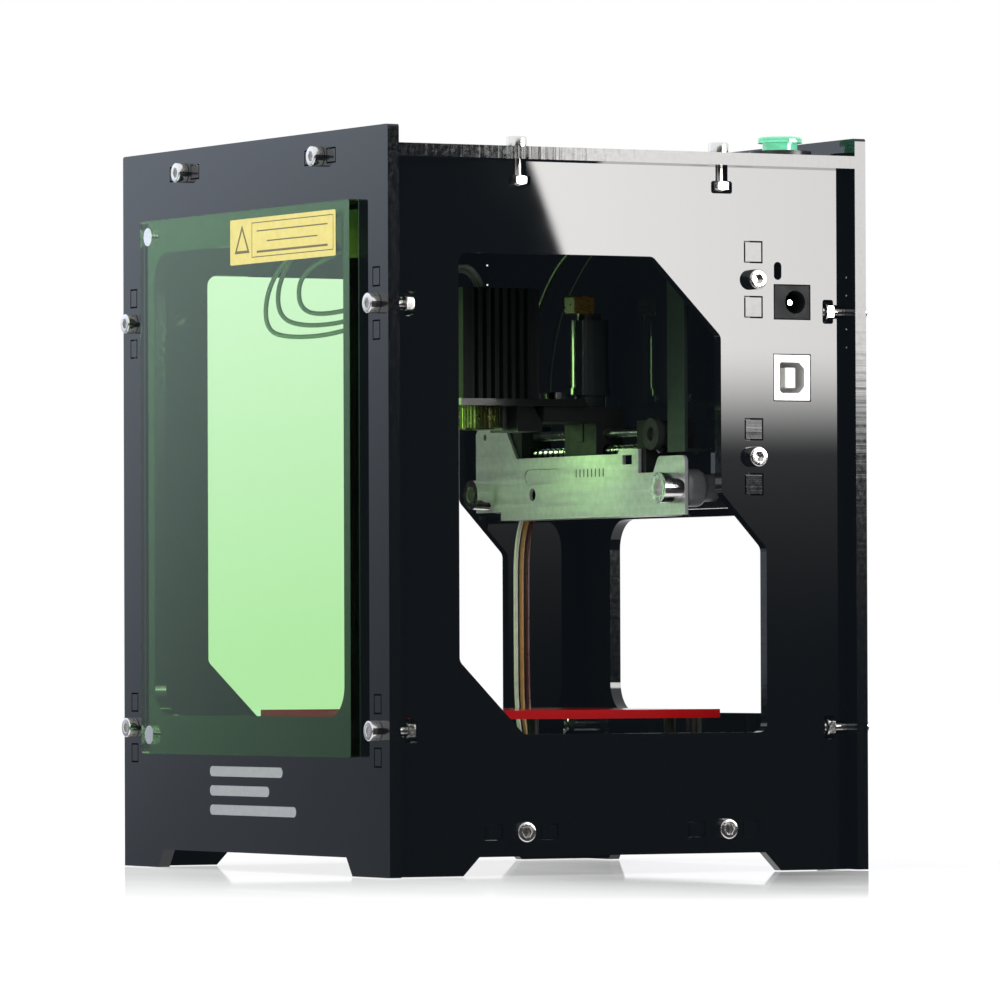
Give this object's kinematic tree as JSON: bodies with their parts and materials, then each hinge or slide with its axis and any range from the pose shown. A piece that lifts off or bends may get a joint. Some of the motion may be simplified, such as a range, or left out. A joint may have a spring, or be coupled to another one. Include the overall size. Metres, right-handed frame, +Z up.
{
  "type": "desktop laser cutter",
  "caption": "Small desktop laser cutter: open-sided black acrylic case, tinted lift-off front cover, sliding laser head above a sliding red work platform.",
  "frame": {"origin": "middle of the footprint, on the surface the feet stand on", "axes": "+Z up, -Y towards the front panel and its cover, +X towards the side with the sockets"},
  "size_m": [0.16, 0.154, 0.2009],
  "materials": {
    "black_acrylic": "polished",
    "nickel": "polished",
    "tin_plate": "satin",
    "zinc_steel": "satin",
    "grey_plastic": "matte",
    "smoke_grey": "satin",
    "dark_plastic": "satin",
    "rubber": "matte",
    "ground_rod": "polished",
    "motor_steel": "satin",
    "black_metal": "satin",
    "black_anodised": "satin",
    "brass_barrel": "satin",
    "brass_ring": "satin",
    "lens_glass": "polished",
    "dark_can": "gloss",
    "amber_tape": "satin",
    "brass_post": "satin",
    "red_acrylic": "polished",
    "board_green": "satin",
    "chip_black": "matte",
    "capacitor": "satin",
    "white_plastic": "satin",
    "button_black": "satin",
    "green_clear": "polished",
    "green_acrylic": "polished",
    "magnet": "polished",
    "label_yellow": "satin",
    "wire_white": "satin",
    "wire_orange": "satin",
    "wire_red": "satin",
    "lead_grey": "satin",
    "wire_black": "satin"
  },
  "bodies": {
    "case": {"front_panel": "black_acrylic", "back_panel": "black_acrylic", "left_panel": "black_acrylic", "right_panel": "black_acrylic", "top_panel": "black_acrylic", "base_plate": "black_acrylic", "stage_panel": "black_acrylic", "shell_screws": "nickel", "shell_nuts": "nickel", "x_mount_screws": "nickel", "y_mount_screws": "nickel", "board_screws": "nickel", "x_chassis": "zinc_steel", "y_chassis": "zinc_steel", "cable_upright": "smoke_grey", "x_mount_spacers": "grey_plastic", "y_mount_spacers": "grey_plastic", "x_bearing_blocks": "dark_plastic", "y_bearing_blocks": "dark_plastic", "damper_grommet": "rubber", "x_guide_rods": "ground_rod", "y_guide_rods": "ground_rod", "x_motor": "motor_steel", "y_motor": "motor_steel", "control_board": "board_green", "board_standoffs": "brass_post", "board_chips": "chip_black", "board_capacitors": "capacitor", "board_headers": "white_plastic", "dc_jack": "dark_plastic", "contact_pins": "nickel", "usb_socket": "tin_plate", "usb_tongue": "white_plastic", "button_housing": "button_black", "button_nut": "button_black", "button_spring": "ground_rod", "wire_white": "wire_white", "wire_orange": "wire_orange", "wire_red": "wire_red", "laser_leads": "lead_grey", "black_leads": "wire_black"},
    "head": {"x_carriage": "dark_plastic", "laser_bracket": "black_metal", "head_screws": "nickel", "laser_heatsink": "black_anodised", "laser_module": "brass_barrel", "driver_housing": "dark_can", "lead_out_block": "amber_tape"},
    "x_screw": {"x_lead_screw": "ground_rod"},
    "focus": {"focus_ring": "brass_ring", "focus_lens": "lens_glass"},
    "table": {"y_carriage": "dark_plastic", "platform_carrier": "black_acrylic", "platform_posts": "dark_plastic", "work_platform": "red_acrylic"},
    "y_screw": {"y_lead_screw": "ground_rod"},
    "button": {"button_cap": "green_clear"},
    "cover": {"cover_plate": "green_acrylic", "cover_magnets": "magnet", "safety_label": "label_yellow"}
  },
  "joints": [
    {"name": "x_slide", "type": "slide", "parent": "case", "child": "head", "axis": [1, 0, 0], "range_m": [-0.021, 0.021]},
    {"name": "x_screw_spin", "type": "hinge", "parent": "case", "child": "x_screw", "pos_m": [0, 0.033, 0.1159], "axis": [1, 0, 0], "range_deg": [-2525, 2525]},
    {"name": "focus_spin", "type": "hinge", "parent": "head", "child": "focus", "pos_m": [0, -0.0027, 0.125], "axis": [0, 0, 1], "range_deg": [-150, 150]},
    {"name": "y_slide", "type": "slide", "parent": "case", "child": "table", "axis": [0, 1, 0], "range_m": [-0.021, 0.021]},
    {"name": "y_screw_spin", "type": "hinge", "parent": "case", "child": "y_screw", "pos_m": [0, 0, 0.027], "axis": [0, 1, 0], "range_deg": [-2525, 2525]},
    {"name": "button_press", "type": "slide", "parent": "case", "child": "button", "axis": [0, 0, -1], "range_m": [0, 0.002], "stiffness_N_per_m": 400, "springref_m": -0.001, "deforming": ["button_spring"]},
    {"name": "cover_pull", "type": "slide", "parent": "case", "child": "cover", "axis": [0, -1, 0], "range_m": [0, 0.04]}
  ],
  "couplings": [
    {"joint": "x_screw_spin", "follows": "x_slide", "rad_per_m": 2094.4},
    {"joint": "y_screw_spin", "follows": "y_slide", "rad_per_m": 2094.4}
  ]
}
